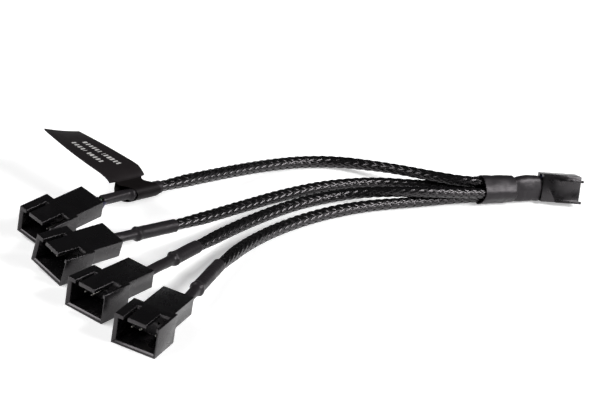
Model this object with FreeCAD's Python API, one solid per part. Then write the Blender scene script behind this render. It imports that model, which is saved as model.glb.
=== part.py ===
import FreeCAD, Part
import math
import os

# Fan splitter cable: one socket feeds four plugs through four sleeved branches.
# Millimetres. +X runs along the cable from the outputs to the input, +Z is up, the floor is z = 0.

V = FreeCAD.Vector
UP = V(0, 0, 1)

# Contact row shared by the input and the outputs
PITCH = 2.54
WAYS = ("ground", "supply", "speed", "control")
ROW_WIDTH = len(WAYS) * PITCH
PIN = 0.64
FIT = 0.05

# Mating plug, which is also the input housing
PLUG_LENGTH = 15.4
PLUG_THICK = 5.9
PLUG_FRONT_WALL = 1.0
PLUG_BEVEL = 0.45
RIB_WIDE = 0.9
RIB_HIGH = 0.95
RIB_UPPER = 7.9
RIB_LOWER_START = 5.6
RIB_UPPER_START = 6.7
RIB_PAST = 0.4

# Terminals and the cavities that hold them
CAVITY_WIDE = 1.94
CAVITY_HIGH = 2.3
TERMINAL_WIDE = CAVITY_WIDE - 4 * FIT
TERMINAL_HIGH = CAVITY_HIGH - 4 * FIT
CRIMP = 1.5
BODY_LENGTH = 4.3
CRIMP_LENGTH = 4.0
WINDOW_WIDE = 1.2
WINDOW_LONG = 2.6

# Output housing: open shroud in front, narrower body behind it
SHROUD_WIDE = 14.2
SHROUD_HIGH = 9.5
SHROUD_LONG = 11.2
BODY_HIGH = 5.8
HOUSING_LONG = 23.0
MOUTH_DEEP = 9.6
FLOOR_WALL = 1.1
LEFT_WALL = 1.15
RIGHT_WALL = 0.85
LEAD_IN = 0.65
TONGUE_THICK = 1.2
TONGUE_WIDE = 6.0
TONGUE_LEFT = -2.9
FLANGE_WIDE = 2.9
SLOT_LONG = 8.1
PIN_SETBACK = 3.0
ROW_CENTRE = SHROUD_WIDE / 2 - RIGHT_WALL - FIT - ROW_WIDTH / 2
PIN_HEIGHT = SHROUD_HIGH - TONGUE_THICK - FIT - PLUG_THICK / 2

# Wires, sleeves and heat shrinks
WIRE = 1.1
WIRE_OUT = 0.5
WIRE_SEAT = 0.6
BUNDLE = {"ground": (-1, 0), "supply": (0, -1), "speed": (0, 1), "control": (1, 0)}
BUNDLE_RADIUS = (WIRE + 4 * FIT) / math.sqrt(2)
CRIMP_END = SHROUD_LONG + FIT + BODY_LENGTH + CRIMP_LENGTH
INPUT_CRIMP_END = PLUG_LENGTH - PLUG_FRONT_WALL - FIT - BODY_LENGTH - CRIMP_LENGTH
SLEEVE = 4.0
SLEEVE_SWELL = 0.25
LIE = SLEEVE / 2 + SLEEVE_SWELL
SLEEVE_SIDES = 12
WIRE_SIDES = 6
SHRINK_LONG = 26.5
SHRINK_WALL = 0.25
SHRINK_BORE = SLEEVE / 2 + 2 * FIT
SHRINK_WIDE = SHRINK_BORE + SHRINK_WALL
RING_SWELL = 0.15
SHRINK_NARROW = BUNDLE_RADIUS + WIRE / 2 + SHRINK_WALL
SHRINK_RAMP = 1.2

# Collar: four sleeves as a diamond, then a shoulder down to a flat neck
COLLAR_LONG = 10.3
SHOULDER_LONG = 2.2
NECK_GAP = 1.6
NECK_DROP = 0.2
COLLAR_WALL = 0.5
SLEEVE_STEP = (SLEEVE + 2 * FIT) / math.sqrt(2)
SLEEVE_IN = 8.0
SLEEVE_STRAIGHT = 6.0
NECK_RISE = 2.75
NECK_SIDE = 0.35
NECK_ROUND = 1.85
CORNER_STEPS = 6
SPLICE = 2.0
SPLICE_LONG = 5.0
SPLICE_STEP = 2.02
SPLICE_STAGGER = (0, 0.9, -0.9, 0)
SPLICE_INSET = 0.5

# Flag label
LABEL_THICK = 0.3
LABEL_WIDE = 15.3
LABEL_REACH = 37.0
LABEL_RISE = 6.1
LABEL_BEND = (5.2, 4.75)
LABEL_NECK = 10.4
LABEL_LEFT = 1.3
LABEL_LEAVE = 57.0
LABEL_SKEW = 6.3
LABEL_YAW = 10.2
LABEL_NOTCH = 3.5
LABEL_START = -4.4
STRAP_SIDES = 20

# Where each output lies: a spot on the table, yaw, pitch, roll, then its heat shrink
# The back of the housing stays where its wires leave, so a longer housing moves its mouth ahead of the spot
SPOT_TO_BACK = 23.0
OUTPUTS = (
    {"at": (-101.5, 12.9), "yaw": 15.2, "pitch": 6.5, "roll": 7.6, "ways": WAYS,
     "ring": V(-64.1, 19.5, 9.0), "lead_yaw": 12.5, "slope": -0.05, "narrow": 11.5, "lead": 22.0},
    {"at": (-107.1, -6), "yaw": 11.2, "pitch": 0.0, "roll": 9.8, "ways": ("ground", "supply", "control"),
     "ring": V(-73.3, -0.9, 6.2), "lead_yaw": 10.6, "slope": -0.066, "narrow": 8.5, "lead": 24.0},
    {"at": (-107.2, -29.4), "yaw": 18.7, "pitch": 0.0, "roll": 0.0, "ways": ("ground", "supply", "control"),
     "ring": V(-69.8, -17.4, 5.4), "lead_yaw": 25.0, "slope": -0.063, "narrow": 13.0, "lead": 22.5},
    {"at": (-103.6, -51.4), "yaw": 29.8, "pitch": 0.0, "roll": 0.0, "ways": ("ground", "supply", "control"),
     "ring": V(-73.0, -35.9, 5.6), "lead_yaw": 36.4, "slope": -0.05, "narrow": 7.5, "lead": 26.0},
)

# Free part of each route, between its heat shrink and the collar
MIDDLES = (
    (V(-21, 30.1, 5.6), V(0, 34.9, 3.4), V(18, 36.3, LIE), V(32.5, 32.1, 2.5),
     V(41.5, 22.7, 4.2), V(46.5, 13.7, 6.2), V(54.0, 1.9, 8.0)),
    (V(-27, 10.1, 2.9), V(-5, 15, LIE), V(17, 16.7, LIE), V(37, 14, LIE), V(51.5, 6.5, 2.6)),
    (V(-27, 1.5, 2.5), V(-6, 7.3, LIE), V(11, 8.7, 2.5), V(24.2, 5.5, 4.1),
     V(35, -2.1, 6.5), V(48.5, -7.4, 6.9)),
    (V(-28, -7.8, 2.4), V(-4, -1.9, LIE), V(19, -0.5, LIE), V(42, -3.9, LIE)),
)

# Collar and input housing
COLLAR_AT = (70.5, -8.5)
COLLAR_YAW = -13.5
PLUG_AT = (93.9, -13.2)
PLUG_YAW = -23.3
PLUG_ROLL = -15.5


def heading(yaw, slope=0.0):
    """Unit direction from a yaw angle and a rise per unit run."""
    angle = math.radians(yaw)
    return V(math.cos(angle), math.sin(angle), slope).normalize()


def box(x0, x1, y0, y1, z0, z1):
    return Part.makeBox(x1 - x0, y1 - y0, z1 - z0, V(x0, y0, z0))


def way_offset(way):
    """Distance of a contact from the middle of its row."""
    return (WAYS.index(way) - (len(WAYS) - 1) / 2) * PITCH


def rounded_path(points):
    """Straight runs joined by tangent arcs, each as large as its two runs allow."""
    edges = []
    radii = []
    start = points[0]
    for before, corner, after in zip(points, points[1:], points[2:]):
        back = (before - corner)
        ahead = (after - corner)
        tangent = 0.45 * min(back.Length, ahead.Length)
        back.normalize()
        ahead.normalize()
        half_turn = (math.pi - back.getAngle(ahead)) / 2
        radius = tangent / math.tan(half_turn)
        middle = (back + ahead).normalize()
        arc_in = corner + back * tangent
        arc_out = corner + ahead * tangent
        arc_mid = corner + middle * (radius / math.cos(half_turn) - radius)
        edges.append(Part.LineSegment(start, arc_in).toShape())
        edges.append(Part.Arc(arc_in, arc_mid, arc_out).toShape())
        radii.append(radius)
        start = arc_out
    edges.append(Part.LineSegment(start, points[-1]).toShape())
    return Part.Wire(edges), radii


def tube(points, diameter, sides):
    """Many-sided solid along a rounded path, with its bend radii, volume error and length."""
    path, radii = rounded_path(points)
    axis = (points[1] - points[0]).normalize()
    across = axis.cross(UP).normalize() * (diameter / 2)
    corners = [FreeCAD.Rotation(axis, 360 * i / sides).multVec(across) for i in range(sides + 1)]
    section = Part.Face(Part.makePolygon([points[0] + corner for corner in corners]))
    solid = path.makePipe(section)
    return solid, radii, solid.Volume / (section.Area * path.Length) - 1, path.Length


def placed(shape, spot):
    moved = shape.copy()
    moved.Placement = spot
    return moved


def export(node, shape):
    if len(shape.Solids) != 1 or not shape.isValid():
        raise ValueError(node + " is not one valid solid")
    shape.exportStep("parts/" + node + ".step")


def output_housing():
    """Open shroud with an offset tongue over the mouth, and a stepped body with four cavities."""
    half = SHROUD_WIDE / 2
    inner_left = -half + LEFT_WALL
    inner_right = half - RIGHT_WALL
    ceiling = SHROUD_HIGH - TONGUE_THICK
    shroud = box(-half, half, 0, SHROUD_LONG, 0, SHROUD_HIGH)
    row_left = ROW_CENTRE - ROW_WIDTH / 2
    body_floor = SHROUD_HIGH - BODY_HIGH
    body = box(row_left, row_left + ROW_WIDTH, SHROUD_LONG, HOUSING_LONG, body_floor, SHROUD_HIGH)
    housing = shroud.fuse(body).removeSplitter()
    cuts = [box(inner_left, inner_right, 0, MOUTH_DEEP, FLOOR_WALL, ceiling)]
    cuts.append(lead_in(inner_left, inner_right, FLOOR_WALL, ceiling))
    cuts.append(box(-half + FLANGE_WIDE, TONGUE_LEFT, 0, SLOT_LONG, ceiling, SHROUD_HIGH))
    cuts.append(box(TONGUE_LEFT + TONGUE_WIDE, inner_right, 0, SLOT_LONG, ceiling, SHROUD_HIGH))
    hole = PIN / 2 + FIT
    for way in WAYS:
        x = ROW_CENTRE + way_offset(way)
        wide = CAVITY_WIDE / 2
        high = CAVITY_HIGH / 2
        cuts.append(box(x - hole, x + hole, MOUTH_DEEP, SHROUD_LONG, PIN_HEIGHT - hole, PIN_HEIGHT + hole))
        cuts.append(box(x - wide, x + wide, SHROUD_LONG, HOUSING_LONG, PIN_HEIGHT - high, PIN_HEIGHT + high))
        slot = WINDOW_WIDE / 2
        window = SHROUD_LONG + BODY_LENGTH
        cuts.append(box(x - slot, x + slot, window, window + WINDOW_LONG, body_floor, PIN_HEIGHT))
    return housing.cut(cuts).removeSplitter()


def lead_in(left, right, floor, ceiling):
    """Flared entry of the mouth: sides and floor open outward at the front."""
    flare = LEAD_IN - FIT
    front = (V(left - flare, 0, floor - flare), V(right + flare, 0, floor - flare),
             V(right + flare, 0, ceiling), V(left - flare, 0, ceiling))
    back = (V(left, LEAD_IN, floor), V(right, LEAD_IN, floor),
            V(right, LEAD_IN, ceiling), V(left, LEAD_IN, ceiling))
    rims = [Part.makePolygon(list(rim) + [rim[0]]) for rim in (front, back)]
    return Part.makeLoft(rims, True, True)


def output_pin(way):
    """Square pin, body and crimp of one output contact."""
    x = ROW_CENTRE + way_offset(way)
    crimp_start = SHROUD_LONG + FIT + BODY_LENGTH
    pin = box(x - PIN / 2, x + PIN / 2, PIN_SETBACK + PIN, crimp_start,
              PIN_HEIGHT - PIN / 2, PIN_HEIGHT + PIN / 2)
    half = PIN / 2
    blunt = PIN / 4
    tip = Part.makeWedge(x - blunt, PIN_SETBACK, PIN_HEIGHT - blunt, PIN_HEIGHT - half, x - half,
                         x + blunt, PIN_SETBACK + PIN, PIN_HEIGHT + blunt, PIN_HEIGHT + half, x + half)
    body = box(x - TERMINAL_WIDE / 2, x + TERMINAL_WIDE / 2, SHROUD_LONG + FIT, crimp_start,
               PIN_HEIGHT - TERMINAL_HIGH / 2, PIN_HEIGHT + TERMINAL_HIGH / 2)
    crimp = box(x - CRIMP / 2, x + CRIMP / 2, crimp_start, crimp_start + CRIMP_LENGTH,
                PIN_HEIGHT - CRIMP / 2, PIN_HEIGHT + CRIMP / 2)
    return pin.fuse([tip, body, crimp]).removeSplitter()


def input_housing():
    """Flat socket block: two guide ribs on one wide face, bevelled front, four cavities."""
    half = ROW_WIDTH / 2
    thick = PLUG_THICK / 2
    block = box(0, PLUG_LENGTH, -thick, thick, -half, half)
    front = [edge for edge in block.Edges if min(v.Point.x for v in edge.Vertexes) > PLUG_LENGTH - FIT]
    block = block.makeChamfer(PLUG_BEVEL, front)
    upper = -half + RIB_UPPER
    face = -thick - RIB_HIGH
    tips = PLUG_LENGTH + RIB_PAST
    lower_rib = box(RIB_LOWER_START, tips, face, -thick, -half, -half + RIB_WIDE)
    upper_rib = box(RIB_UPPER_START, tips, face, -thick, upper, upper + RIB_WIDE)
    block = block.fuse([lower_rib, upper_rib]).removeSplitter()
    cuts = []
    entry = PIN / 2 + 2 * FIT
    for way in WAYS:
        z = way_offset(way)
        high = CAVITY_HIGH / 2
        wide = CAVITY_WIDE / 2
        cuts.append(box(0, PLUG_LENGTH - PLUG_FRONT_WALL, -high, high, z - wide, z + wide))
        cuts.append(box(PLUG_LENGTH - PLUG_FRONT_WALL, PLUG_LENGTH, -entry, entry, z - entry, z + entry))
        window = PLUG_LENGTH - PLUG_FRONT_WALL - BODY_LENGTH - WINDOW_LONG
        cuts.append(box(window, window + WINDOW_LONG, 0, thick, z - WINDOW_WIDE / 2, z + WINDOW_WIDE / 2))
    return block.cut(cuts).removeSplitter()


def input_terminal(way):
    """Hollow contact box and crimp of one input contact."""
    z = way_offset(way)
    front = PLUG_LENGTH - PLUG_FRONT_WALL - FIT
    back = front - BODY_LENGTH
    entry = PIN / 2 + FIT
    high = TERMINAL_HIGH / 2
    wide = TERMINAL_WIDE / 2
    body = box(back, front, -high, high, z - wide, z + wide)
    crimp = box(back - CRIMP_LENGTH, back, -CRIMP / 2, CRIMP / 2, z - CRIMP / 2, z + CRIMP / 2)
    entry_hole = box(back, front, -entry, entry, z - entry, z + entry)
    return body.fuse(crimp).removeSplitter().cut(entry_hole)


def output_shrink(start, axis, narrow):
    """Heat shrink: solid round the wires, a ring over the sleeve's cut end, a bore for the sleeve."""
    ring_radius = SHRINK_WIDE + RING_SWELL
    outline = ((0, 0), (SHRINK_NARROW, 0), (SHRINK_NARROW, narrow - SHRINK_RAMP), (ring_radius, narrow),
               (SHRINK_WIDE, narrow + 2 * SHRINK_RAMP),
               (SHRINK_WIDE, SHRINK_LONG), (SHRINK_BORE, SHRINK_LONG), (SHRINK_BORE, narrow), (0, narrow))
    corners = [V(radius, 0, along) for radius, along in outline]
    solid = Part.Face(Part.makePolygon(corners + corners[:1])).revolve(V(), UP, 360)
    solid.Placement = FreeCAD.Placement(start, FreeCAD.Rotation(UP, axis))
    return solid


def diamond(at, axis, rise, side, radius, tilt):
    """Closed outline round four circles: above, behind, below and in front of a point."""
    top = FreeCAD.Rotation(axis, tilt).multVec(UP)
    across = top.cross(axis)
    centres = (at + top * rise, at + across * side, at - top * rise, at - across * side)
    slant = math.hypot(rise, side)
    up_part = top * (radius * side / slant)
    side_part = across * (radius * rise / slant)
    normals = (side_part + up_part, side_part - up_part, -side_part - up_part, up_part - side_part)
    points = []
    for centre, first, last in zip(centres, normals[-1:] + normals[:-1], normals):
        for step in range(CORNER_STEPS + 1):
            spread = (first * (CORNER_STEPS - step) + last * step).normalize()
            points.append(centre + spread * radius)
    return Part.makePolygon(points + points[:1])


def facet_taper(wide, narrow):
    """Solid between two like outlines, with flat three-sided facets."""
    lower = [v.Point for v in wide.OrderedVertexes]
    upper = [v.Point for v in narrow.OrderedVertexes]
    faces = [Part.Face(wide), Part.Face(narrow)]
    for i in range(len(lower)):
        here = lower[i - 1]
        there = upper[i - 1]
        faces.append(Part.Face(Part.makePolygon([here, lower[i], upper[i], here])))
        faces.append(Part.Face(Part.makePolygon([here, upper[i], there, here])))
    return Part.makeSolid(Part.makeShell(faces))


def input_shrink(start, axis, neck, end, tilt):
    """Heat shrink over the four sleeves, narrowed to a flat neck that ends just short of the socket."""
    shoulder = start + axis * COLLAR_LONG

    def collar_rim(at, wall):
        return diamond(at, axis, SLEEVE_STEP, SLEEVE_STEP, SLEEVE / 2 + FIT + wall, 0)

    def neck_rim(at, wall):
        return diamond(at, axis, NECK_RISE, NECK_SIDE, NECK_ROUND + wall, tilt)

    collar = Part.Face(collar_rim(start, COLLAR_WALL)).extrude(shoulder - start)
    taper = facet_taper(collar_rim(shoulder, COLLAR_WALL), neck_rim(neck, COLLAR_WALL))
    flat = Part.Face(neck_rim(neck, COLLAR_WALL)).extrude(end - neck)
    collar_bore = Part.Face(collar_rim(start, 0)).extrude(shoulder - start)
    neck_bore = Part.Face(neck_rim(neck, 0)).extrude(end - neck)
    link = Part.Face(neck_rim(shoulder, 0)).extrude(neck - shoulder)
    return collar.fuse([taper, flat]).cut([collar_bore, link, neck_bore]).removeSplitter()


def prism(radius, long):
    """Many-sided bar that stands on the origin."""
    turns = [FreeCAD.Rotation(UP, 360 * i / STRAP_SIDES) for i in range(STRAP_SIDES + 1)]
    outline = Part.makePolygon([turn.multVec(V(radius, 0, 0)) for turn in turns])
    return Part.Face(outline).extrude(UP * long)


def label(strap_at, axis):
    """Flag folded round the first branch: skewed strap, short rise, then a long flat flag."""
    bore = SHRINK_WIDE + RING_SWELL + 2 * FIT
    skin = bore + LABEL_THICK
    reach = LABEL_NECK + LABEL_SKEW
    strap = prism(skin, reach).cut(prism(bore, reach))
    side = skin + FIT
    slab = [V(-side, side, 0), V(-side, side, LABEL_NECK)]
    slab += [V(-side, -side, reach), V(-side, -side, LABEL_SKEW)]
    strap = strap.common(Part.Face(Part.makePolygon(slab + slab[:1])).extrude(V(2 * side, 0, 0)))
    across = UP.cross(axis).normalize()
    strap.Placement = FreeCAD.Placement(strap_at, FreeCAD.Rotation(across.cross(axis), across, axis, "ZYX"))

    leave = math.radians(LABEL_LEAVE)
    middle = bore + LABEL_THICK / 2
    corners = (V(-LABEL_LEFT, middle * math.cos(leave), middle * math.sin(leave)),
               V(-LABEL_LEFT, *LABEL_BEND), V(-LABEL_LEFT, LABEL_REACH, LABEL_RISE))
    profile = rounded_path(corners)[0].makeOffset2D(LABEL_THICK / 2, fill=True, openResult=False)
    flag = profile.extrude(V(LABEL_WIDE, 0, 0))
    notches = [box(-LABEL_LEFT, 0, 0, LABEL_NOTCH, 0, LABEL_RISE)]
    notches.append(box(LABEL_NECK, LABEL_WIDE - LABEL_LEFT, 0, LABEL_NOTCH, 0, LABEL_RISE))
    flag = flag.cut(notches)
    along = heading(LABEL_YAW)
    flag.Placement = FreeCAD.Placement(strap_at, FreeCAD.Rotation(along, UP.cross(along), UP, "ZXY"))
    return strap.fuse(flag).removeSplitter()


housing = output_housing()
collar_axis = heading(COLLAR_YAW)
collar_side = UP.cross(collar_axis)
collar_start = V(*COLLAR_AT, SLEEVE_STEP + SLEEVE / 2 + FIT + COLLAR_WALL)
seats = (UP * SLEEVE_STEP, collar_side * SLEEVE_STEP, collar_side * -SLEEVE_STEP, UP * -SLEEVE_STEP)
nodes = {}

# Four output branches: housing, contacts, wires, heat shrink and sleeve
for number, (place, middle, seat) in enumerate(zip(OUTPUTS, MIDDLES, seats), 1):
    name = "output_%d_" % number
    turn = FreeCAD.Rotation(UP, place["yaw"] - 90)
    turn = turn * FreeCAD.Rotation(V(1, 0, 0), place["pitch"]) * FreeCAD.Rotation(V(0, 1, 0), place["roll"])
    feet = [V(x, y, 0) for x in (-SHROUD_WIDE / 2, SHROUD_WIDE / 2) for y in (0, SHROUD_LONG)]
    drop = min(turn.multVec(foot).z for foot in feet)
    ahead = turn.multVec(V(0, SPOT_TO_BACK - HOUSING_LONG, 0))
    spot = FreeCAD.Placement(V(*place["at"], -drop) + V(ahead.x, ahead.y, 0), turn)
    nodes[name + "housing"] = placed(housing, spot)

    axis = heading(place["lead_yaw"], place["slope"])
    right = axis.cross(UP).normalize()
    over = right.cross(axis)
    shrink_start = place["ring"] - axis * place["narrow"]
    shrink = output_shrink(shrink_start, axis, place["narrow"])
    nodes[name + "heat_shrink"] = shrink
    for way in place["ways"]:
        nodes[name + "pin_" + way] = placed(output_pin(way), spot)
        x = ROW_CENTRE + way_offset(way)
        begin = spot.multVec(V(x, CRIMP_END, PIN_HEIGHT))
        leave = spot.multVec(V(x, HOUSING_LONG + WIRE_OUT, PIN_HEIGHT))
        sideways, upward = BUNDLE[way]
        into = shrink_start + (right * sideways + over * upward) * BUNDLE_RADIUS
        end = into + (into - leave).normalize() * WIRE_SEAT
        nodes[name + "wire_" + way] = tube([begin, leave, end], WIRE, WIRE_SIDES)[0].cut(shrink)

    lead = place["ring"] + axis * place["lead"]
    seat_start = collar_start + seat
    last = [seat_start - collar_axis * SLEEVE_STRAIGHT, seat_start + collar_axis * SLEEVE_IN]
    sleeve, radii, error, length = tube([place["ring"], lead, *middle, *last], SLEEVE, SLEEVE_SIDES)
    nodes[name + "sleeve"] = sleeve
    print(name + "sleeve length %.1f, volume error %.4f, radii" % (length, error), [round(r) for r in radii])

strap_at = OUTPUTS[0]["ring"] + heading(OUTPUTS[0]["lead_yaw"], OUTPUTS[0]["slope"]) * LABEL_START
nodes["flag_label"] = label(strap_at, heading(OUTPUTS[0]["lead_yaw"], OUTPUTS[0]["slope"]))

# Input end: heat shrink, splices, wires and socket
turn = FreeCAD.Rotation(UP, PLUG_YAW) * FreeCAD.Rotation(V(1, 0, 0), PLUG_ROLL)
plug = input_housing()
drop = placed(plug, FreeCAD.Placement(V(), turn)).optimalBoundingBox(False).ZMin
spot = FreeCAD.Placement(V(*PLUG_AT, -drop), turn)
nodes["input_housing"] = placed(plug, spot)
neck_start = collar_start + collar_axis * (COLLAR_LONG + SHOULDER_LONG)
neck_end = spot.multVec(V(-NECK_GAP, 0, -NECK_DROP))
neck_run = (neck_end - neck_start).normalize()
nodes["input_heat_shrink"] = input_shrink(collar_start, collar_axis, neck_start, neck_end, PLUG_ROLL)
neck_top = FreeCAD.Rotation(collar_axis, PLUG_ROLL).multVec(UP)
neck_side = neck_top.cross(collar_axis)
for i, way in enumerate(WAYS):
    nodes["input_terminal_" + way] = placed(input_terminal(way), spot)
    seat = neck_top * (way_offset(way) / PITCH * SPLICE_STEP) + neck_side * SPLICE_STAGGER[i]
    splice_at = neck_start + seat + neck_run * SPLICE_INSET
    into = splice_at + neck_run * SPLICE_LONG
    splice = tube([splice_at, into], SPLICE, SLEEVE_SIDES)[0]
    nodes["splice_" + way] = splice
    begin = spot.multVec(V(INPUT_CRIMP_END, 0, way_offset(way)))
    leave = spot.multVec(V(-FIT, 0, way_offset(way)))
    end = into + (into - leave).normalize() * WIRE_SEAT
    nodes["input_wire_" + way] = tube([begin, leave, end], WIRE, WIRE_SIDES)[0].cut(splice)

# One file for each piece
os.makedirs("parts", exist_ok=True)
for node, shape in nodes.items():
    export(node, shape)
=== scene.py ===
import math

import bmesh
import bpy
import numpy as np
from mathutils import Matrix, Quaternion, Vector, noise


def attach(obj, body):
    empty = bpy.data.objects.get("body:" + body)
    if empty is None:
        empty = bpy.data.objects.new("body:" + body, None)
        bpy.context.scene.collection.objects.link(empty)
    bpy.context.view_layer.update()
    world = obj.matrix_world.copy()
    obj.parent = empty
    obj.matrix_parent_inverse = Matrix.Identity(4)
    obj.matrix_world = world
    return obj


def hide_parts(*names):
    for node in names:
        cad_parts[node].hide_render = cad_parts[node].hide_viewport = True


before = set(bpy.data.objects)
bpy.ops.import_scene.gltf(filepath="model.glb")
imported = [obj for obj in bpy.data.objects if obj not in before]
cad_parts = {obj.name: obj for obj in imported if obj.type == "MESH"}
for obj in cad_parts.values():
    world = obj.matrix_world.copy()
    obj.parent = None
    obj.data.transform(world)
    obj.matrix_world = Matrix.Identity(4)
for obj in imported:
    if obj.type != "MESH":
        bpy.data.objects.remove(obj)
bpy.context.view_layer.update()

# Camera, floor and light
# A long lens looks down the fan of outputs from the front left, with the horizon tipped a little.
# The table is white and the room above it is dark, so that black plastic shows the table in its sides
# and stays black on top. One soft lamp hangs over the plugs and one stands at the front right.
MM = 0.001
CAMERA_AT = Vector((-321.15, -359.55, 230.5))
CAMERA_LOOK = Vector((0.5946, 0.6840, -0.4226))
CAMERA_TILT = math.radians(11)
CAMERA_LENS = 93.84
CAMERA_SENSOR = 36
NEAREST_SEEN = 10
TABLE_HALF = 6000
TABLE_GAP = 0.02
TABLE_COLOUR = (0.9, 0.9, 0.9)
TABLE_GLOW = 0.42
GLOW_RISES_FROM = 350
GLOW_FULL_AT = 1500
ROOM_COLOUR = (0.97, 0.98, 1.0)
ROOM_DARK = 0.02
HORIZON_HIGH = 0.08


def ranged(nodes, start, end, first, last):
    """Node that takes values from start to end over to values from first to last."""
    node = nodes.new("ShaderNodeMapRange")
    for socket, value in zip(("From Min", "From Max", "To Min", "To Max"), (start, end, first, last)):
        node.inputs[socket].default_value = value
    return node


def math_node(nodes, operation):
    """Node that does one operation on numbers."""
    node = nodes.new("ShaderNodeMath")
    node.operation = operation
    return node


def soft_lamp(name, at, aim, wide, high, power):
    """Soft box that faces a point."""
    lamp = bpy.data.objects.new(name, bpy.data.lights.new(name, "AREA"))
    bpy.context.scene.collection.objects.link(lamp)
    lamp.location = Vector(at) * MM
    lamp.rotation_mode = "QUATERNION"
    lamp.rotation_quaternion = (Vector(aim) - Vector(at)).to_track_quat("-Z", "Y")
    lamp.data.shape = "RECTANGLE"
    lamp.data.size = wide * MM
    lamp.data.size_y = high * MM
    lamp.data.energy = power


camera = bpy.data.objects.new("camera", bpy.data.cameras.new("camera"))
bpy.context.scene.collection.objects.link(camera)
camera.location = CAMERA_AT * MM
camera.rotation_mode = "QUATERNION"
camera.rotation_quaternion = CAMERA_LOOK.to_track_quat("-Z", "Y") @ Quaternion((0, 0, 1), CAMERA_TILT)
camera.data.lens = CAMERA_LENS
camera.data.sensor_width = CAMERA_SENSOR
camera.data.clip_start = NEAREST_SEEN * MM
bpy.context.scene.camera = camera
bpy.context.scene.view_settings.view_transform = "Standard"

shape = bmesh.new()
bmesh.ops.create_grid(shape, x_segments=1, y_segments=1, size=TABLE_HALF * MM)
bmesh.ops.translate(shape, verts=shape.verts, vec=(0, 0, -TABLE_GAP * MM))
floor = bpy.data.objects.new("floor", bpy.data.meshes.new("floor"))
shape.to_mesh(floor.data)
shape.free()
bpy.context.scene.collection.objects.link(floor)

# The table glows only to the camera and in reflections, and more so where the lamps no longer reach it
white_table = bpy.data.materials.new("white table")
white_table.use_nodes = True
nodes, links = white_table.node_tree.nodes, white_table.node_tree.links
shader = nodes["Principled BSDF"]
shader.inputs["Base Color"].default_value = (*TABLE_COLOUR, 1)
shader.inputs["Roughness"].default_value = 0.9
shader.inputs["Specular IOR Level"].default_value = 0.1
shader.inputs["Emission Color"].default_value = (1, 1, 1, 1)
place = nodes.new("ShaderNodeTexCoord")
distance = nodes.new("ShaderNodeVectorMath")
distance.operation = "LENGTH"
rise = ranged(nodes, GLOW_RISES_FROM * MM, GLOW_FULL_AT * MM, TABLE_GLOW, 1.0)
rays = nodes.new("ShaderNodeLightPath")
mirrored = math_node(nodes, "MAXIMUM")
seen = math_node(nodes, "MAXIMUM")
glow = math_node(nodes, "MULTIPLY")
links.new(place.outputs["Object"], distance.inputs[0])
links.new(distance.outputs["Value"], rise.inputs["Value"])
links.new(rays.outputs["Is Glossy Ray"], mirrored.inputs[0])
links.new(rays.outputs["Is Transmission Ray"], mirrored.inputs[1])
links.new(rays.outputs["Is Camera Ray"], seen.inputs[0])
links.new(mirrored.outputs["Value"], seen.inputs[1])
links.new(seen.outputs["Value"], glow.inputs[0])
links.new(rise.outputs["Result"], glow.inputs[1])
links.new(glow.outputs["Value"], shader.inputs["Emission Strength"])
floor.data.materials.append(white_table)

world = bpy.data.worlds.new("studio")
bpy.context.scene.world = world
world.use_nodes = True
nodes, links = world.node_tree.nodes, world.node_tree.links
nodes["Background"].inputs["Color"].default_value = (*ROOM_COLOUR, 1)
heading = nodes.new("ShaderNodeTexCoord")
height = nodes.new("ShaderNodeSeparateXYZ")
fade = ranged(nodes, 0.0, HORIZON_HIGH, 1.0, ROOM_DARK)
links.new(heading.outputs["Generated"], height.inputs["Vector"])
links.new(height.outputs["Z"], fade.inputs["Value"])
links.new(fade.outputs["Result"], nodes["Background"].inputs["Strength"])

soft_lamp("lamp over the plugs", at=(-620, 230, 600), aim=(-100, -20, 0), wide=800, high=300, power=5.6)
soft_lamp("lamp at the front right", at=(430, -550, 470), aim=(50, 0, 0), wide=420, high=340, power=8.4)

# Output plugs
# Each plug is one black nylon moulding: an open shroud with an offset tongue over its mouth, and a
# narrower body behind it that holds the contacts. The mould leaves every edge a little rounded and the
# skin finely grained.
BRANCHES = (1, 2, 3, 4)
EDGE_ROUND = 0.16
EDGE_TURN = math.radians(30)
FLAT_TURN = math.radians(2)
SHARP_TURN = math.radians(35)
MERGE_NEAR = 0.002
MOTTLE_SIZE = 4.0
WARM_GLOSS = (1, 0.94, 0.98)


def grained_finish(name, colour, roughness, grain, depth, mottle=0.05, metallic=0.0, specular=0.5):
    """Finish with a fine grain in its surface and a gloss that changes a little from place to place."""
    material = bpy.data.materials.new(name)
    material.use_nodes = True
    nodes, links = material.node_tree.nodes, material.node_tree.links
    shader = nodes["Principled BSDF"]
    shader.inputs["Base Color"].default_value = (*colour, 1)
    shader.inputs["Metallic"].default_value = metallic
    shader.inputs["Specular IOR Level"].default_value = specular
    shader.inputs["Specular Tint"].default_value = (*WARM_GLOSS, 1)
    place = nodes.new("ShaderNodeTexCoord")
    fine = nodes.new("ShaderNodeTexNoise")
    fine.inputs["Scale"].default_value = 1 / (grain * MM)
    fine.inputs["Detail"].default_value = 3
    bump = nodes.new("ShaderNodeBump")
    bump.inputs["Distance"].default_value = depth * MM
    coarse = nodes.new("ShaderNodeTexNoise")
    coarse.inputs["Scale"].default_value = 1 / (MOTTLE_SIZE * MM)
    coarse.inputs["Detail"].default_value = 4
    gloss = ranged(nodes, 0.3, 0.7, roughness - mottle, roughness + mottle)
    links.new(place.outputs["Object"], fine.inputs["Vector"])
    links.new(fine.outputs["Fac"], bump.inputs["Height"])
    links.new(bump.outputs["Normal"], shader.inputs["Normal"])
    links.new(place.outputs["Object"], coarse.inputs["Vector"])
    links.new(coarse.outputs["Fac"], gloss.inputs["Value"])
    links.new(gloss.outputs["Result"], shader.inputs["Roughness"])
    return material


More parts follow.
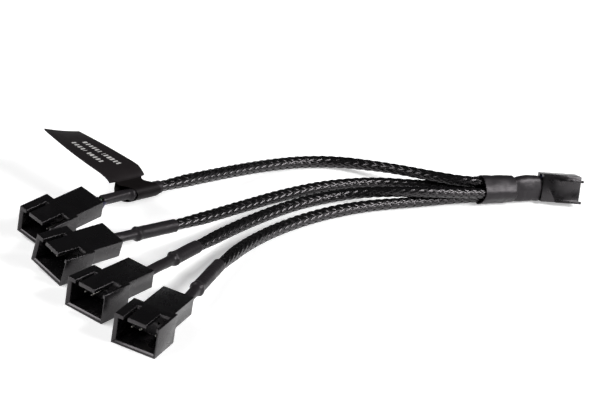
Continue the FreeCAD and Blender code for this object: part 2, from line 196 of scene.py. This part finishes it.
def root_piece(name, shape, slot, replaced, *materials):
    """Mesh piece on the root body that stands for one solid."""
    mesh = bpy.data.meshes.new(name)
    shape.to_mesh(mesh)
    shape.free()
    for material in materials:
        mesh.materials.append(material)
    mesh.shade_smooth()
    mesh.set_sharp_from_angle(angle=SHARP_TURN)
    piece = bpy.data.objects.new(name, mesh)
    bpy.context.scene.collection.objects.link(piece)
    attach(piece, "root")
    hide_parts(replaced)
    return piece


def softened_piece(name, slot, replaced, width, material):
    """Piece in the shape of one solid, with its flat faces made whole and a small round on its edges."""
    shape = bmesh.new()
    shape.from_mesh(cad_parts[replaced].data)
    bmesh.ops.remove_doubles(shape, verts=shape.verts, dist=MERGE_NEAR * MM)
    bmesh.ops.dissolve_limit(shape, angle_limit=FLAT_TURN, verts=shape.verts, edges=shape.edges)
    edges = [edge for edge in shape.edges if edge.is_manifold and edge.calc_face_angle() > EDGE_TURN]
    bmesh.ops.bevel(shape, geom=edges, offset=width * MM, segments=2, profile=0.5, affect="EDGES",
                    clamp_overlap=True, material=-1)
    root_piece(name, shape, slot, replaced, material)


moulded_black = grained_finish("black moulded nylon", (0.0035, 0.0033, 0.0036), roughness=0.28, grain=0.35,
                               depth=0.006, specular=0.55)
for branch in BRANCHES:
    softened_piece("output_plug_%d" % branch, "housing", "output_%d_housing" % branch, EDGE_ROUND,
                   moulded_black)

# Contacts
# Square pins stand in the plugs' mouths and box contacts sit in the input plug, each stamped from tinned
# brass. The flagged branch has all four pins, and the other three have no speed pin.
WAYS = ("ground", "supply", "speed", "control")
WAYS_LESS_SPEED = ("ground", "supply", "control")
BRANCH_WAYS = {1: WAYS, 2: WAYS_LESS_SPEED, 3: WAYS_LESS_SPEED, 4: WAYS_LESS_SPEED}
PIN_ROUND = 0.05
BOX_ROUND = 0.08

# The tin is darker than bright tin: painted shade, for the contacts deep in the plugs' mouths.
tin_darkened_as_shade = grained_finish("tinned brass", (0.3, 0.29, 0.27), roughness=0.38, grain=0.5, depth=0.004,
                              mottle=0.08, metallic=1.0)
for branch in BRANCHES:
    for way in BRANCH_WAYS[branch]:
        softened_piece("contact_%d_%s" % (branch, way), "contact", "output_%d_pin_%s" % (branch, way),
                       PIN_ROUND, tin_darkened_as_shade)
for way in WAYS:
    softened_piece("contact_input_" + way, "contact", "input_terminal_" + way, BOX_ROUND, tin_darkened_as_shade)

# Braided sleeves
# Each branch wears a black braid of thin polyester strands, woven two over and two under round its wires.
# The braid is squeezed at both ends by heat shrink and swells in between.
SLEEVE_ROUTES = {
    1: ((-64.1, 19.5, 9.0), (-42.65, 24.26, 7.9), (-21, 30.1, 5.6), (0, 34.9, 3.4), (18, 36.3, 2.25),
        (32.5, 32.1, 2.5), (41.5, 22.7, 4.2), (46.5, 13.7, 6.2), (54, 1.9, 8.0),
        (64.67, -7.1, 8.35), (78.28, -10.37, 8.35)),
    2: ((-73.3, -0.9, 6.2), (-49.76, 3.51, 4.62), (-27, 10.1, 2.9), (-5, 15, 2.25), (17, 16.7, 2.25),
        (37, 14, 2.25), (51.5, 6.5, 2.6), (65.34, -4.28, 5.45), (78.96, -7.55, 5.45)),
    3: ((-69.8, -17.4, 5.4), (-49.45, -7.91, 3.99), (-27, 1.5, 2.5), (-6, 7.3, 2.25), (11, 8.7, 2.5),
        (24.2, 5.5, 4.1), (35, -2.1, 6.5), (48.5, -7.4, 6.9), (63.99, -9.92, 5.45), (77.6, -13.19, 5.45)),
    4: ((-73, -35.9, 5.6), (-52.1, -20.49, 4.3), (-28, -7.8, 2.4), (-4, -1.9, 2.25), (19, -0.5, 2.25),
        (42, -3.9, 2.25), (64.67, -7.1, 2.55), (78.28, -10.37, 2.55)),
}
SLEEVE_MIDDLE = {1: 2.25, 2: 2.15, 3: 2.2, 4: 2.25}
SLEEVE_SQUEEZED = 1.8
SLEEVE_COLLARED = 1.98
SHRINK_COVER = {1: 15.0, 2: 18.0, 3: 13.5, 4: 19.0}
SWELL_RUN = 12
NARROWS_FROM_END = 70
NARROW_FROM_END = 46
BRAID_CARRIERS = 8
BRAID_PITCH = 27.2
RIBBON_WIDE = 0.95
RIBBON_THICK = 0.1
RIBBON_CROWN = 0.09
RIBBON_LIFT = 0.09
RIBBON_WAVE = RIBBON_LIFT * math.sqrt(2)
RIBBON_COLUMNS = 6
RIBBON_STRANDS = 4
STRAND_DEEP = 0.005
CORE_SIDES = 16
LINE_STEPS = 16
UP = Vector((0, 0, 1))


def smooth_curve(points, steps=LINE_STEPS):
    """Curve of one smooth spline whose control points are given in millimetres."""
    curve = bpy.data.curves.new("line", "CURVE")
    curve.dimensions = "3D"
    curve.resolution_u = steps
    spline = curve.splines.new("NURBS")
    spline.points.add(len(points) - 1)
    for point, place in zip(spline.points, points):
        point.co = (*(Vector(place) * MM), 1)
    spline.order_u = 3
    spline.use_endpoint_u = True
    return curve


def curve_shape(curve):
    """Shape that a curve gives, with its seams merged. The curve is used up."""
    holder = bpy.data.objects.new(curve.name, curve)
    mesh = bpy.data.meshes.new_from_object(holder)
    shape = bmesh.new()
    shape.from_mesh(mesh)
    bpy.data.objects.remove(holder)
    bpy.data.curves.remove(curve)
    bpy.data.meshes.remove(mesh)
    bmesh.ops.remove_doubles(shape, verts=shape.verts, dist=MERGE_NEAR * MM)
    return shape


def smooth_line(points, steps=LINE_STEPS):
    """Points in metres along a smooth curve."""
    shape = curve_shape(smooth_curve(points, steps))
    line = [vert.co.copy() for vert in shape.verts]
    shape.free()
    return line


def rails(line, spacing):
    """Evenly spaced places along a line, with two directions across it that don't twist."""
    line = np.array(line)
    travel = np.concatenate([[0], np.cumsum(np.linalg.norm(np.diff(line, axis=0), axis=1))])
    along = np.linspace(0, travel[-1], round(travel[-1] / spacing) + 1)
    places = np.stack([np.interp(along, travel, line[:, i]) for i in range(3)], axis=1)
    ahead = np.gradient(places, axis=0)
    ahead /= np.linalg.norm(ahead, axis=1)[:, None]
    across = np.zeros_like(places)
    side = np.cross(ahead[0], UP)
    for i, direction in enumerate(ahead):
        side = side - direction * side.dot(direction)
        side /= np.linalg.norm(side)
        across[i] = side
    return along, places, across, np.cross(ahead, across)


def wrapped_grid(shape, columns, places, across, over, angles, reach):
    """Grid of faces laid round a line, from an angle and a distance for each row and column."""
    rows = len(places)
    outward = across[:, None] * np.cos(angles)[..., None] + over[:, None] * np.sin(angles)[..., None]
    spots = places[:, None] + outward * (reach * MM)[..., None]
    grid = bmesh.ops.create_grid(shape, x_segments=columns, y_segments=rows - 1, size=0.5, calc_uvs=True)
    for vert in grid["verts"]:
        vert.co = spots[round((vert.co.y + 0.5) * (rows - 1)), round((vert.co.x + 0.5) * columns)]
    return grid["verts"]


strand_gloss = grained_finish("black polyester strands", (0.004, 0.004, 0.0042), roughness=0.23, grain=0.6,
                              depth=0.004)
nodes, links = strand_gloss.node_tree.nodes, strand_gloss.node_tree.links
place_across = nodes.new("ShaderNodeSeparateXYZ")
strand_turn = math_node(nodes, "MULTIPLY")
strand_turn.inputs[1].default_value = 2 * math.pi * RIBBON_STRANDS
strand_ridge = math_node(nodes, "COSINE")
strand_bump = nodes.new("ShaderNodeBump")
strand_bump.inputs["Distance"].default_value = STRAND_DEEP * MM
links.new(nodes["Texture Coordinate"].outputs["UV"], place_across.inputs["Vector"])
links.new(place_across.outputs["X"], strand_turn.inputs[0])
links.new(strand_turn.outputs["Value"], strand_ridge.inputs[0])
links.new(strand_ridge.outputs["Value"], strand_bump.inputs["Height"])
links.new(nodes["Bump"].outputs["Normal"], strand_bump.inputs["Normal"])
links.new(strand_bump.outputs["Normal"], nodes["Principled BSDF"].inputs["Normal"])
wire_shadow = grained_finish("shadowed wires", (0.004, 0.004, 0.004), roughness=0.7, grain=0.8, depth=0.01,
                             specular=0.2)
crossing = BRAID_PITCH / (2 * BRAID_CARRIERS)
sideways = np.linspace(-1, 1, RIBBON_COLUMNS + 1)
sleeves = {}
for branch, route in SLEEVE_ROUTES.items():
    along, places, across, over = rails(smooth_line(route), crossing / 2 * MM)
    travel = along / MM
    end = travel[-1]
    cover = SHRINK_COVER[branch]
    middle = SLEEVE_MIDDLE[branch]
    stations = (0, cover, cover + SWELL_RUN, end - NARROWS_FROM_END, end - NARROW_FROM_END, end)
    radii = (SLEEVE_SQUEEZED, SLEEVE_SQUEEZED, middle, middle, SLEEVE_COLLARED, SLEEVE_COLLARED)
    radius = np.interp(travel, stations, radii)
    lean = np.arctan2(2 * math.pi * radius, BRAID_PITCH)
    half_wide = RIBBON_WIDE / 2 / (radius * np.cos(lean))
    shape = bmesh.new()
    shape.loops.layers.uv.new("across")
    for hand in (1, -1):
        for carrier in range(BRAID_CARRIERS):
            wave = np.cos(math.pi / 2 * (2 * carrier + hand * travel / crossing) - math.pi / 4)
            angle = hand * 2 * math.pi * travel / BRAID_PITCH + 2 * math.pi * carrier / BRAID_CARRIERS
            angles = angle[:, None] + sideways * half_wide[:, None]
            reach = (radius - RIBBON_WAVE + hand * RIBBON_WAVE * wave)[:, None] - RIBBON_CROWN * sideways ** 2
            wrapped_grid(shape, RIBBON_COLUMNS, places, across, over, angles, reach)
    shape.normal_update()
    bmesh.ops.solidify(shape, geom=shape.faces[:], thickness=RIBBON_THICK * MM)
    ribbons = set(shape.faces)
    angles = np.tile(np.linspace(0, 2 * math.pi, CORE_SIDES + 1), (len(travel), 1))
    reach = np.repeat((radius - 2 * RIBBON_LIFT - 2 * RIBBON_THICK)[:, None], CORE_SIDES + 1, axis=1)
    core = wrapped_grid(shape, CORE_SIDES, places, across, over, angles, reach)
    bmesh.ops.remove_doubles(shape, verts=core, dist=MERGE_NEAR * MM)
    bmesh.ops.holes_fill(shape, edges=[edge for edge in shape.edges if edge.is_boundary])
    core_faces = [face for face in shape.faces if face not in ribbons]
    bmesh.ops.recalc_face_normals(shape, faces=core_faces)
    for face in core_faces:
        face.material_index = 1
    sleeve = root_piece("braided_sleeve_%d" % branch, shape, "sleeve", "output_%d_sleeve" % branch,
                        strand_gloss, wire_shadow)
    sleeves[branch] = sleeve, places, along[-1]

# Wires
# Thin stranded wires with coloured vinyl insulation run from each crimped contact into its heat shrink.
# They fan in from the row of contacts to a tight bundle.
SHROUD_HALF = 7.1
SHROUD_LONG = 11.2
PLUG_LONG = 23.0
ROW_CENTRE = 1.12
PIN_HEIGHT = 5.3
PITCH = 2.54
CRIMP_END = 19.55
WIRE_RADIUS = 0.55
WIRE_ROUNDNESS = 4
WIRE_STRAIGHT = 0.5
WIRE_COVERED = 2
# The yellow, green and blue insulation colours are darkened: painted shade, for the shade that the wires lie
# in behind the plugs.
WIRE_COLOURS_DARKENED_AS_SHADE = {"ground": ("black", (0.008, 0.008, 0.008)), "supply": ("yellow", (0.15, 0.1, 0.018)),
                "speed": ("green", (0.007, 0.022, 0.01)), "control": ("blue", (0.013, 0.014, 0.045))}
BUNDLE = {"ground": (-1, 0), "supply": (0, -1), "speed": (0, 1), "control": (1, 0)}
BUNDLE_RADIUS = 0.92
SHRINK_NARROW = {1: 11.5, 2: 8.5, 3: 13.0, 4: 7.5}
# Where each plug lies: the middle of its mouth's lower edge, then yaw, pitch and roll
PLUG_SPOTS = {1: ((-101.5, 12.9), 15.2, 6.5, 7.6), 2: ((-107.1, -6), 11.2, 0, 9.8),
              3: ((-107.2, -29.4), 18.7, 0, 0), 4: ((-103.6, -51.4), 29.8, 0, 0)}


def plug_matrix(branch):
    """Place of a plug, from the middle of its mouth's lower edge, with y back to the wires and z up."""
    (x, y), yaw, pitch, roll = PLUG_SPOTS[branch]
    turn = Matrix.Rotation(math.radians(yaw - 90), 4, "Z") @ Matrix.Rotation(math.radians(pitch), 4, "X")
    turn = turn @ Matrix.Rotation(math.radians(roll), 4, "Y")
    feet = [turn @ Vector((a, b, 0)) for a in (-SHROUD_HALF, SHROUD_HALF) for b in (0, SHROUD_LONG)]
    return Matrix.Translation((x, y, -min(foot.z for foot in feet))) @ turn


def way_offset(way):
    """Distance of a contact from the middle of its row."""
    return (WAYS.index(way) - (len(WAYS) - 1) / 2) * PITCH


def wire_piece(name, points, way, replaced):
    """Round wire along a smooth line, in place of one solid."""
    slot, finish = insulation[way]
    curve = smooth_curve(points)
    curve.bevel_depth = WIRE_RADIUS * MM
    curve.bevel_resolution = WIRE_ROUNDNESS
    curve.use_fill_caps = True
    root_piece(name, curve_shape(curve), slot, replaced, finish)


insulation = {}
for way, (word, colour) in WIRE_COLOURS_DARKENED_AS_SHADE.items():
    finish = grained_finish(word + " insulation", colour, roughness=0.42, grain=0.7, depth=0.004)
    insulation[way] = "wire_" + word, finish
shrink_starts = {}
for branch, route in SLEEVE_ROUTES.items():
    cut_end = Vector(route[0])
    axis = (Vector(route[1]) - cut_end).normalized()
    start = cut_end - axis * SHRINK_NARROW[branch]
    shrink_starts[branch] = start, axis
    right = axis.cross(UP).normalized()
    upward = right.cross(axis)
    place = plug_matrix(branch)
    for way in BRANCH_WAYS[branch]:
        x = ROW_CENTRE + way_offset(way)
        begin = place @ Vector((x, CRIMP_END, PIN_HEIGHT))
        leave = place @ Vector((x, PLUG_LONG + WIRE_STRAIGHT, PIN_HEIGHT))
        beside, above = BUNDLE[way]
        into = start + (right * beside + upward * above) * BUNDLE_RADIUS
        wire_piece("wire_%d_%s" % (branch, way), (begin, leave, into, into + axis * WIRE_COVERED), way,
                   "output_%d_wire_%s" % (branch, way))

# Output heat shrinks
# A black polyolefin tube is shrunk tight over the wires on one side and over the sleeve's cut end on the
# other. It takes the shape of what lies under it: wires as soft lobes, the cut end as a lumpy ring, the
# braid as a faint net.
SHRINK_OVER_SLEEVE = {1: 13.8, 2: 16.8, 3: 14.2, 4: 20.0}
SHRINK_TO_PLUG = 0.8
TUBE_SIDES = 48
TUBE_STEP = 0.35
OVER_WIRES = 1.64
WIRES_AFTER_MOUTH = 0.45
WIRES_BEFORE_CUT = 1.6
OVER_BRAID = 2.14
BRAID_AFTER_CUT = 2.1
BRAID_BEFORE_LIP = 0.5
# Outlines as radius and height: the mouth at the plug, the ring over the sleeve's cut end, the far lip,
# and the lining back to the mouth
MOUTH = ((0.7, 0.5), (1.3, 0.12), (1.5, 0), (1.6, 0.12))
CUT_RING = ((1.66, -1.4), (1.76, -0.95), (1.98, -0.55), (2.24, -0.2), (2.38, 0.1), (2.4, 0.4),
            (2.33, 0.75), (2.24, 1.2), (2.18, 1.7))
FAR_LIP = ((2.15, -0.3), (2.12, -0.1), (2.03, 0), (1.93, -0.05), (1.87, -0.3), (1.84, -3))
CUT_LINING = ((1.84, -0.1), (1.5, -0.9))
MOUTH_LINING = (1.5, 0.9)
# How deep the tube is shaped by what it covers, as shares of its radius, and where that starts and fades
LOBE_DEEP = 0.05
LOBE_TWIST = 0.25
LOBES_BEFORE_CUT = 0.3
LOBE_FADE = 1.6
LUMP_DEEP = 0.09
LUMP_SCALE = 0.9
LUMP_SEED = 7
LUMPS_AFTER_CUT = 0.3
LUMP_SPREAD = 0.8
NET_DEEP = 0.012
NET_SIDES = 4
NET_STEP = 2.7
NET_AFTER_CUT = 1
NET_FADE = 1.5
DENT_DEEP = 0.03
DENT_SCALE = Vector((0.5, 0.5, 0.3))
DENT_SEED = 20


def clamped(value):
    """Value held between 0 and 1."""
    return min(1, max(0, value))


shrunk_tube = grained_finish("dark heat shrink", (0.013, 0.0115, 0.013), roughness=0.44, grain=0.9,
                             depth=0.03, mottle=0.08, specular=0.28)
for branch, (start, axis) in shrink_starts.items():
    cut = SHRINK_NARROW[branch] + SHRINK_TO_PLUG
    end = cut + SHRINK_OVER_SLEEVE[branch]
    outline = list(MOUTH)
    outline += [(OVER_WIRES, z) for z in np.arange(WIRES_AFTER_MOUTH, cut - WIRES_BEFORE_CUT, TUBE_STEP)]
    outline += [(radius, cut + z) for radius, z in CUT_RING]
    outline += [(OVER_BRAID, z) for z in np.arange(cut + BRAID_AFTER_CUT, end - BRAID_BEFORE_LIP, TUBE_STEP)]
    outline += [(radius, end + z) for radius, z in FAR_LIP]
    outline += [(radius, cut + z) for radius, z in CUT_LINING]
    outline.append(MOUTH_LINING)
    shape = bmesh.new()
    dots = [shape.verts.new((radius, 0, z)) for radius, z in outline]
    threads = [shape.edges.new(pair) for pair in zip(dots, dots[1:] + dots[:1])]
    bmesh.ops.spin(shape, geom=dots + threads, cent=(0, 0, 0), axis=UP, angle=2 * math.pi, steps=TUBE_SIDES,
                   use_merge=True)
    bmesh.ops.remove_doubles(shape, verts=shape.verts, dist=MERGE_NEAR)
    bmesh.ops.recalc_face_normals(shape, faces=shape.faces)
    for vert in shape.verts:
        x, y, z = vert.co
        turn = math.atan2(y, x)
        slope = 2 * math.pi * z / NET_STEP
        lobe = math.cos(len(BRANCH_WAYS[branch]) * turn + LOBE_TWIST * z + branch)
        lump = noise.noise(Vector((x * LUMP_SCALE, y * LUMP_SCALE, LUMP_SEED * branch)))
        net = math.cos(NET_SIDES * turn + slope) * math.cos(NET_SIDES * turn - slope)
        dent = noise.noise(vert.co * DENT_SCALE + UP * DENT_SEED * branch)
        grow = LOBE_DEEP * lobe * clamped((cut - LOBES_BEFORE_CUT - z) / LOBE_FADE)
        grow += LUMP_DEEP * lump * math.exp(-((z - cut - LUMPS_AFTER_CUT) / LUMP_SPREAD) ** 2)
        grow += NET_DEEP * net * clamped((z - cut - NET_AFTER_CUT) / NET_FADE)
        grow += DENT_DEEP * dent
        vert.co.xy *= 1 + grow
    lean = axis.to_track_quat("Z", "Y").to_matrix().to_4x4()
    place = Matrix.Scale(MM, 4) @ Matrix.Translation(start - axis * SHRINK_TO_PLUG) @ lean
    bmesh.ops.transform(shape, verts=shape.verts, matrix=place)
    root_piece("output_shrink_%d" % branch, shape, "heat_shrink", "output_%d_heat_shrink" % branch,
               shrunk_tube)
    sleeve, places, length = sleeves[branch]

# Input heat shrink
# One wide tube is shrunk over the four sleeves, and behind them it falls to a flat neck over the joined
# wires. The shoulder between the two is drawn into short wrinkles.
COLLAR_AT = Vector((70.5, -8.5, 5.449))
COLLAR_YAW = math.radians(-13.5)
COLLAR_AXIS = Vector((math.cos(COLLAR_YAW), math.sin(COLLAR_YAW), 0))
COLLAR_EARLY = 2.5
COLLAR_LONG = 10.6
COLLAR_RADIUS = 5.3
COLLAR_ROUNDNESS = 0.45
COLLAR_WIDEST = 1.05
COLLAR_TAPER = 0.07
COLLAR_RINGS = 30
SLEEVE_OFF_CENTRE = 2.9
SLEEVE_HUG = 2.4
SHOULDER_LONG = 1.7
SHOULDER_RINGS = 9
SHOULDER_NOTCH = 0.6
NOTCH_RUN = 1.4
INPUT_AT = (93.9, -13.2, 5.684)
INPUT_YAW = math.radians(-23.3)
INPUT_ROLL = math.radians(-15.5)
INPUT_SPOT = (Matrix.Translation(INPUT_AT) @ Matrix.Rotation(INPUT_YAW, 4, "Z")
              @ Matrix.Rotation(INPUT_ROLL, 4, "X"))
NECK_END = INPUT_SPOT @ Vector((-0.55, 0, -0.6))
NECK_HALF_HIGH = 2.6
NECK_HALF_WIDE = 0.35
NECK_RADIUS = 2.1
NECK_RINGS = 30
NECK_BULGE = 0.35
NECK_PINCH = 0.47
PINCH_FALL = 8
SWELL_AT_MIDDLE = 0.55
SWELL_BY_HEIGHT = 0.09
PUCKER_DEEP = 0.5
PUCKER_SCALE = 0.8
PUCKER_SEED = 3
WIDE_DENT_DEEP = 0.16
WIDE_DENT_SCALE = 0.33
SMALL_DENT_DEEP = 0.06
SMALL_DENT_SCALE = 0.9
TUBE_WALL = 0.35
TUBE_RESTS = 0.02
CORNER_STEPS = 10
FLAT_STEPS = 5


def hull_outline(rise, side, radius):
    """Outline round four equal circles that stand above, beside and below a point."""
    lean = math.atan2(side, rise)
    centres = ((0, rise), (side, 0), (0, -rise), (-side, 0))
    turned = (math.pi - lean, lean, -lean, lean - math.pi, -math.pi - lean)
    corners = []
    for (x, y), first, last in zip(centres, turned, turned[1:]):
        turns = np.linspace(first, last, CORNER_STEPS)
        corners.append(np.column_stack([x + radius * np.cos(turns), y + radius * np.sin(turns)]))
    outline = []
    for corner, following in zip(corners, corners[1:] + corners[:1]):
        outline.append(corner)
        outline.append(np.linspace(corner[-1], following[0], FLAT_STEPS + 1)[1:-1])
    return np.concatenate(outline)


sleeves_rim = hull_outline(SLEEVE_OFF_CENTRE, SLEEVE_OFF_CENTRE, SLEEVE_HUG)
round_rim = COLLAR_RADIUS * sleeves_rim / np.linalg.norm(sleeves_rim, axis=1)[:, None]
collar_rim = sleeves_rim * (1 - COLLAR_ROUNDNESS) + round_rim * COLLAR_ROUNDNESS
neck_rim = hull_outline(NECK_HALF_HIGH, NECK_HALF_WIDE, NECK_RADIUS)
collar_start = COLLAR_AT - COLLAR_AXIS * COLLAR_EARLY
collar_end = COLLAR_AT + COLLAR_AXIS * COLLAR_LONG
neck_start = collar_end + COLLAR_AXIS * SHOULDER_LONG

# Each ring of the tube: its place, its share of the neck's form, and how far it swells
rings = [(collar_start.lerp(collar_end, run), 0, 0) for run in np.linspace(0, 1, COLLAR_RINGS)]
for run in np.linspace(0, 1, SHOULDER_RINGS)[1:-1]:
    swell = -SHOULDER_NOTCH * math.sin(math.pi * run / NOTCH_RUN)
    rings.append((collar_end.lerp(neck_start, run), run, swell))
for run in np.linspace(0, 1, NECK_RINGS):
    swell = NECK_BULGE * math.sin(math.pi * run) - NECK_PINCH * (1 - run) ** PINCH_FALL
    rings.append((neck_start.lerp(NECK_END, run), 1, swell))
shape = bmesh.new()
rim_verts = bmesh.ops.create_circle(shape, segments=len(collar_rim), radius=1)["verts"]
rim_edges = shape.edges[:]
for number, (at, share, swell) in enumerate(rings):
    if number:
        grown = bmesh.ops.extrude_edge_only(shape, edges=rim_edges)["geom"]
        rim_verts = [item for item in grown if isinstance(item, bmesh.types.BMVert)]
        rim_edges = [item for item in grown if isinstance(item, bmesh.types.BMEdge)
                     and item.verts[0] in rim_verts and item.verts[1] in rim_verts]
    eased = share * share * (3 - 2 * share)
    widened = COLLAR_WIDEST - COLLAR_TAPER * clamped(number / (COLLAR_RINGS - 1))
    rim = collar_rim * widened * (1 - eased) + neck_rim * eased
    upward = Matrix.Rotation(INPUT_ROLL * eased, 3, COLLAR_AXIS) @ UP
    side = upward.cross(COLLAR_AXIS)
    for vert, (x, y) in zip(rim_verts, rim):
        outward = side * x + upward * y
        vert.co = at + outward
        wrinkle = noise.noise(Vector((x * PUCKER_SCALE, y * PUCKER_SCALE, PUCKER_SEED)))
        push = PUCKER_DEEP * wrinkle * math.sin(math.pi * share)
        push += WIDE_DENT_DEEP * noise.noise(vert.co * WIDE_DENT_SCALE)
        push += SMALL_DENT_DEEP * noise.noise(vert.co * SMALL_DENT_SCALE)
        push += swell * (SWELL_AT_MIDDLE + SWELL_BY_HEIGHT * y)
        vert.co += outward.normalized() * push
bmesh.ops.recalc_face_normals(shape, faces=shape.faces)
bmesh.ops.solidify(shape, geom=shape.faces[:], thickness=TUBE_WALL)
for vert in shape.verts:
    vert.co.z = max(vert.co.z, TUBE_RESTS)
bmesh.ops.scale(shape, verts=shape.verts, vec=(MM, MM, MM))
root_piece("input_shrink", shape, "heat_shrink", "input_heat_shrink", shrunk_tube)

# Input plug
# One flat black nylon moulding with two guide ribs on its wide face, four cavities and a bevelled front.
# Each of its wires is crimped in a box contact and joined to the branch wires inside the neck.
INPUT_CRIMP_END = 6.05
INPUT_WIRE_LEAVES = -0.4
JOINT_REACH = 5.5
JOINT_STEP = 2.02
JOINT_STAGGER = {"ground": 0, "supply": 0.45, "speed": -0.45, "control": 0}
JOINT_ROUND = 0.1
BUNDLE_AT_NECK = 0.95

softened_piece("input_plug", "housing", "input_housing", EDGE_ROUND, moulded_black)
neck_run = (NECK_END - neck_start).normalized()
neck_top = Matrix.Rotation(INPUT_ROLL, 3, COLLAR_AXIS) @ UP
neck_side = neck_top.cross(COLLAR_AXIS)
for way in WAYS:
    begin = INPUT_SPOT @ Vector((INPUT_CRIMP_END, 0, way_offset(way)))
    leave = INPUT_SPOT @ Vector((INPUT_WIRE_LEAVES, 0, way_offset(way)))
    seat = neck_top * (way_offset(way) / PITCH * JOINT_STEP) + neck_side * JOINT_STAGGER[way]
    joint = neck_start + seat + neck_run * JOINT_REACH
    wire_piece("wire_input_" + way, (begin, leave, NECK_END + seat * BUNDLE_AT_NECK, joint), way,
               "input_wire_" + way)
    softened_piece("wire_joint_" + way, "contact", "splice_" + way, JOINT_ROUND, tin_darkened_as_shade)

# Flag label
# One strip of black satin film is folded round the first branch, and its two ends are glued together as a
# flag. The loop hugs the heat shrink at a slant, and two rows of plain pale bars are printed on the upper
# side.
LABEL_BEFORE_CUT = 4.4
FILM_THICK = 0.12
FILM_COLUMNS = 24
STRIP_STEPS = 8
FLAG_YAW = math.radians(10.2)
FLAG_LEFT = -1.3
FLAG_RIGHT = 14.0
FLAG_REACH = 37
FLAG_ROOT = 7
FLAG_HIGH = 4.7
FLAG_CLIMB = 0.04
LEAF_GAP = 0.24
STRAP_RADIUS = 2.58
STRAP_WIDE = 10.4
STRAP_SLANT = 3.15
SLANT_ENDS = 2.9
LOOP_STEP = 30
LOOP_CORNER = STRAP_RADIUS / math.cos(math.radians(LOOP_STEP / 2))
# Path of the strip where the loop opens into the two leaves, as distance behind the branch and height
LOWER_ROOT = ((7, 4.5), (5.2, 4.0), (4.2, 3.5), (3.5, 2.7), (3.0, 1.7))
UPPER_ROOT = ((1.5, 2.75), (2.6, 3.05), (3.5, 3.45), (4.4, 3.95), (5.4, 4.35), (7, 4.76))
NECK_LEFT = 1.2
NECK_RIGHT = 12.6
NECK_WITHIN = 4.9
FLARE_FROM = 2.7
FLARE_RUN = 2.2
LEVEL_FROM = 5.0
LEVEL_RUN = 4
SHADED_LOOP_WITHIN = 4.5
CURL_FROM = 6
CURL_LEFT = 2.6
CURL_RIGHT = -1.3
CURL_SAG = 0.3
CURL_SHIFT = -1.2
# Rows of bars: two edges as shares of the width, then the start, the end and the middle of the gap
PRINT_ROWS = ((0.58, 0.72, 10.6, 28.6, 19.2), (0.29, 0.43, 14.0, 28.4, 21.4))
PRINT_STEP = 1.5
PRINT_BAR = 0.8
PRINT_GAP_HALF = 0.8


def film_place(across, y, z):
    """Place of a spot on the film, from its share of the width and its place on the strip's path."""
    off_axis = math.hypot(y, z)
    left = FLAG_LEFT
    right = FLAG_RIGHT
    if off_axis < NECK_WITHIN:
        slant = STRAP_SLANT * max(0, 1 - y / SLANT_ENDS)
        flared = max(0, (off_axis - FLARE_FROM) / FLARE_RUN)
        left = slant + (NECK_LEFT - slant) * flared
        right = slant + STRAP_WIDE + (NECK_RIGHT - slant - STRAP_WIDE) * flared
    far = clamped((y - CURL_FROM) / (FLAG_REACH - CURL_FROM))
    x = left + (right - left) * across + CURL_SHIFT * far
    z += far ** 2 * (CURL_LEFT * (1 - across) + CURL_RIGHT * across)
    z -= far * CURL_SAG * math.sin(math.pi * across)
    level = clamped((off_axis - LEVEL_FROM) / LEVEL_RUN)
    along = strap_axis.lerp(flag_along, level)
    back = strap_back.lerp(flag_back, level)
    return strap_at + along * x + back * y + strap_up.lerp(UP, level) * z


def printed(across, y):
    """Whether a spot on the upper leaf lies on one of the bars."""
    for low, high, first, last, gap in PRINT_ROWS:
        on_row = low <= across <= high and first <= y <= last
        if on_row and (y - first) % PRINT_STEP < PRINT_BAR and abs(y - gap) > PRINT_GAP_HALF:
            return True
    return False


satin_film = grained_finish("black satin film", (0.012, 0.01, 0.0105), roughness=0.42, grain=0.5, depth=0.01,
                            mottle=0.06, specular=0.3)
pale_print = grained_finish("pale print", (0.5, 0.49, 0.48), roughness=0.55, grain=0.5, depth=0.01)
# The loop round the heat shrink is a darker, less glossy copy of the same film: painted shade.
loop_film_darkened_as_shade = grained_finish("film of the loop in painted shade", (0.006, 0.005, 0.005), roughness=0.42, grain=0.5,
                            depth=0.01, mottle=0.06, specular=0.1)
strap_axis = shrink_starts[1][1]
strap_at = Vector(SLEEVE_ROUTES[1][0]) - strap_axis * LABEL_BEFORE_CUT
strap_back = UP.cross(strap_axis).normalized()
strap_up = strap_axis.cross(strap_back)
flag_along = Vector((math.cos(FLAG_YAW), math.sin(FLAG_YAW), 0))
flag_back = UP.cross(flag_along)
leaf = [(y, FLAG_HIGH + FLAG_CLIMB * (y - FLAG_ROOT)) for y in range(FLAG_REACH, FLAG_ROOT + 1, -2)]
loop_turns = [math.radians(turn) for turn in range(LOOP_STEP // 2, -270, -LOOP_STEP)]
path = leaf + list(LOWER_ROOT)
path += [(LOOP_CORNER * math.cos(turn), LOOP_CORNER * math.sin(turn)) for turn in loop_turns]
path += list(UPPER_ROOT) + [(y, z + LEAF_GAP) for y, z in leaf[::-1]]
strip = [place / MM for place in smooth_line([(0, y, z) for y, z in path], STRIP_STEPS)]
rows = len(strip)
shape = bmesh.new()
bmesh.ops.create_grid(shape, x_segments=FILM_COLUMNS, y_segments=rows - 1, size=0.5)
for face in shape.faces:
    middle = face.calc_center_median()
    row = (middle.y + 0.5) * (rows - 1)
    y, z = strip[int(row)].yz
    # Faces of the loop near the branch take the darker copy of the film: painted shade.
    if math.hypot(y, z) < SHADED_LOOP_WITHIN:
        face.material_index = 2
    elif row > rows / 2 and printed(middle.x + 0.5, y):
        face.material_index = 1
for vert in shape.verts:
    y, z = strip[round((vert.co.y + 0.5) * (rows - 1))].yz
    vert.co = film_place(vert.co.x + 0.5, y, z) * MM
bmesh.ops.recalc_face_normals(shape, faces=shape.faces)
film_area = sum(face.calc_area() for face in shape.faces)
bmesh.ops.solidify(shape, geom=shape.faces[:], thickness=FILM_THICK * MM)
flag = root_piece("name_flag", shape, "label", "flag_label", satin_film, pale_print, loop_film_darkened_as_shade)
